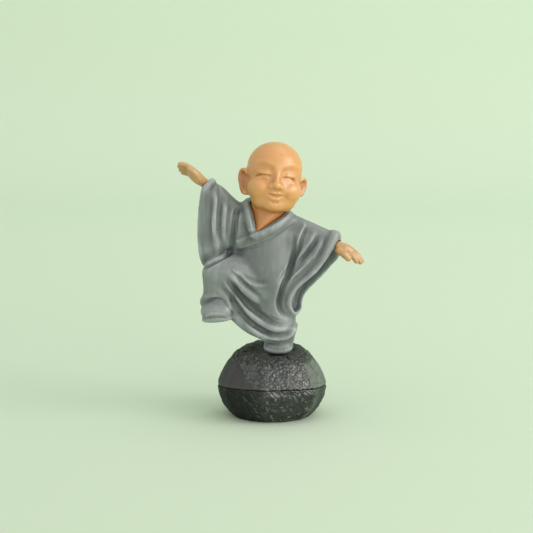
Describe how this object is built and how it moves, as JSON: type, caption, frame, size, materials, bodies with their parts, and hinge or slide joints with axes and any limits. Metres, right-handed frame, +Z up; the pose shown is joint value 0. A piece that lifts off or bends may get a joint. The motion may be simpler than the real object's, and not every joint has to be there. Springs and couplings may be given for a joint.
{
  "type": "miniature figurine",
  "caption": "Moulded toy figure of a child monk balancing on one foot on a chipped black rock, arms spread in wide sleeves.",
  "frame": {"origin": "middle of the rock's flat underside", "axes": "+Z up, +X to the viewer's right when the figure faces the viewer, -Y towards the viewer"},
  "size_m": [0.0557, 0.0305, 0.0831],
  "materials": {
    "robe": "painted grey with a dark wash in the folds",
    "skin": "satin, skin coloured",
    "rock": "black, part dull and part glossy"
  },
  "bodies": {
    "root": {"robe": "robe", "head": "skin", "right_hand": "skin", "left_hand": "skin", "rock_upper": "rock", "rock_lower": "rock"}
  },
  "joints": []
}
